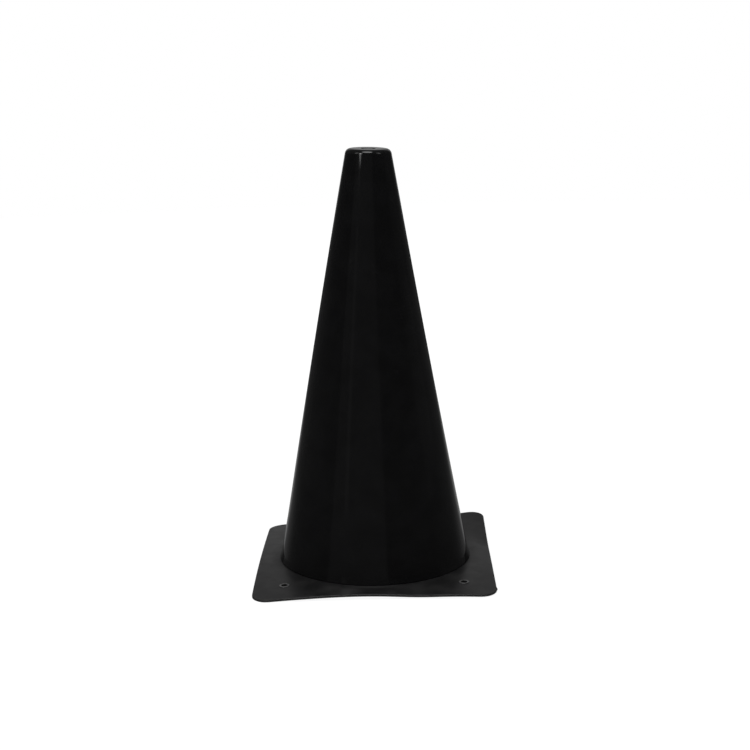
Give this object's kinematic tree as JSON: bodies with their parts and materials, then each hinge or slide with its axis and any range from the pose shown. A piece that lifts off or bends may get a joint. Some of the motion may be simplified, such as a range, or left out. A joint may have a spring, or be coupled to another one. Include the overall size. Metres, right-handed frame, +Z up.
{
  "type": "sports marker cone",
  "caption": "Free-standing hollow marker cone with a closed flat top, seated in a thin dished square base plate with lipped peg holes near its corners; cones nest for storage.",
  "frame": {"origin": "on the floor, under the cone's axis", "axes": "+Z up along the cone's axis, -Y towards the front as pictured, +X to the right, both along the plate's sides"},
  "size_m": [0.214, 0.214, 0.38],
  "materials": {
    "cone_shell": "black moulded polyethylene, semi-gloss",
    "base_sheet": "black polyethylene sheet, satin"
  },
  "bodies": {
    "root": {"cone_body": "cone_shell", "base_plate": "base_sheet"}
  },
  "joints": []
}
